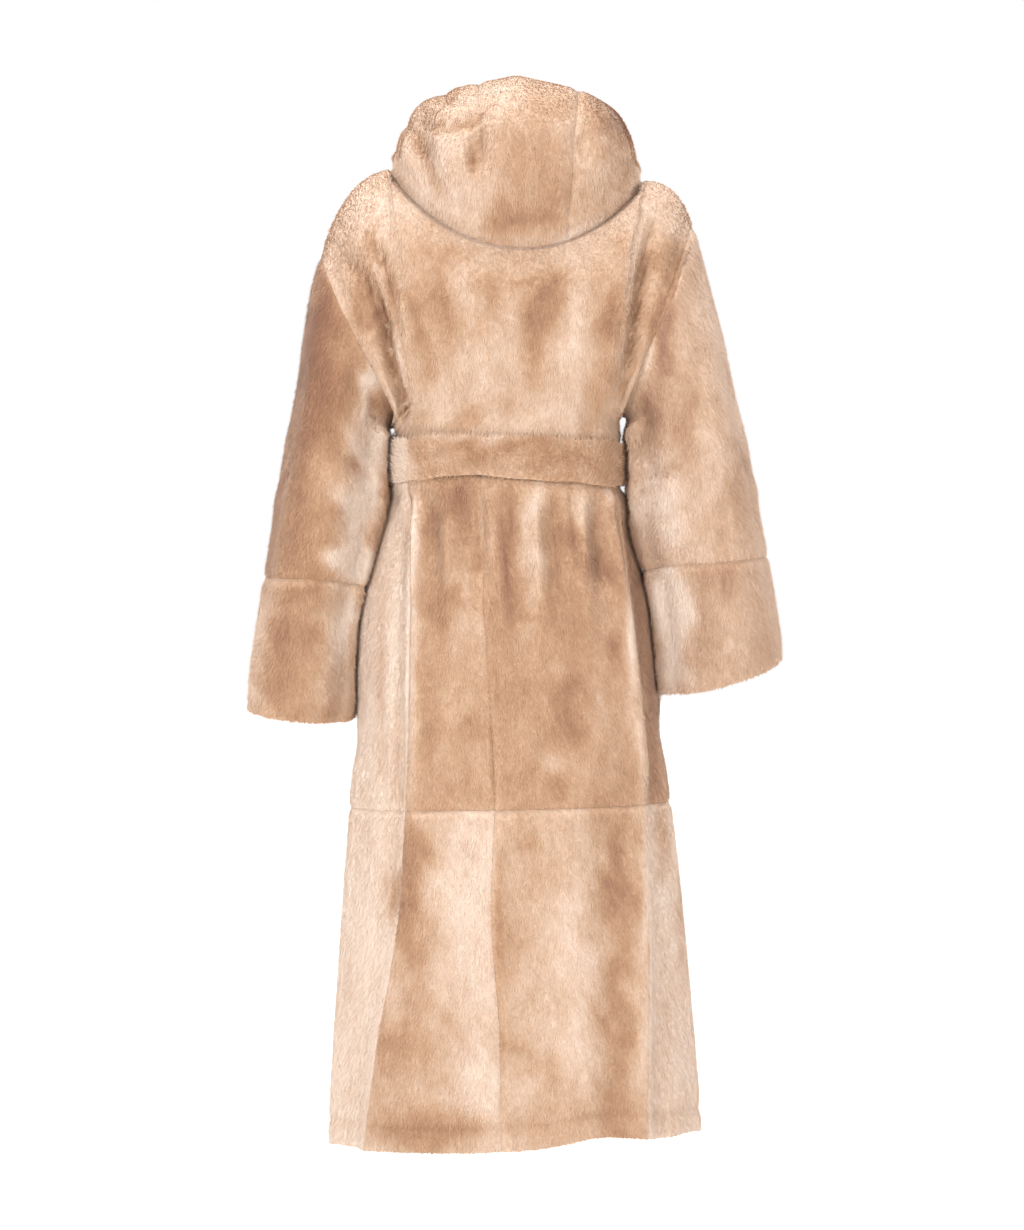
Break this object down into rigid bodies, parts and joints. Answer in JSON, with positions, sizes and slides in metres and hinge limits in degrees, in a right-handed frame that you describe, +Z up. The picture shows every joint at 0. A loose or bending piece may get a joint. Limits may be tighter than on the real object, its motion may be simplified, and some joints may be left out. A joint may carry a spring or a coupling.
{
  "type": "fur coat",
  "caption": "Long hooded coat of sheared sheepskin with a tied belt, hollow and open at face, cuffs and hem, in the form it has when worn.",
  "frame": {"origin": "middle of the neck opening at shoulder height, where the wearer's shoulders carry the coat", "axes": "+Z up, -Y towards the wearer's front, +X towards the wearer's left arm"},
  "size_m": [0.7235, 0.3626, 1.4203],
  "materials": {
    "fur": "short dense sheared fur with a soft sheen",
    "suede": "matt suede"
  },
  "bodies": {
    "root": {"belt_band": "fur", "belt_end_left": "fur", "belt_end_right": "fur", "belt_knot": "fur", "bodice_back": "fur", "bodice_front_left": "fur", "bodice_front_right": "fur", "hood_center": "fur", "hood_left": "fur", "hood_right": "fur", "skirt_back_left_lower": "fur", "skirt_back_left_upper": "fur", "skirt_back_right_lower": "fur", "skirt_back_right_upper": "fur", "skirt_front_left_lower": "fur", "skirt_front_left_upper": "fur", "skirt_front_right_lower": "fur", "skirt_front_right_upper": "fur", "skirt_side_left_lower": "fur", "skirt_side_left_upper": "fur", "skirt_side_right_lower": "fur", "skirt_side_right_upper": "fur", "sleeve_left_lower": "fur", "sleeve_left_upper": "fur", "sleeve_right_lower": "fur", "sleeve_right_upper": "fur"}
  },
  "joints": []
}
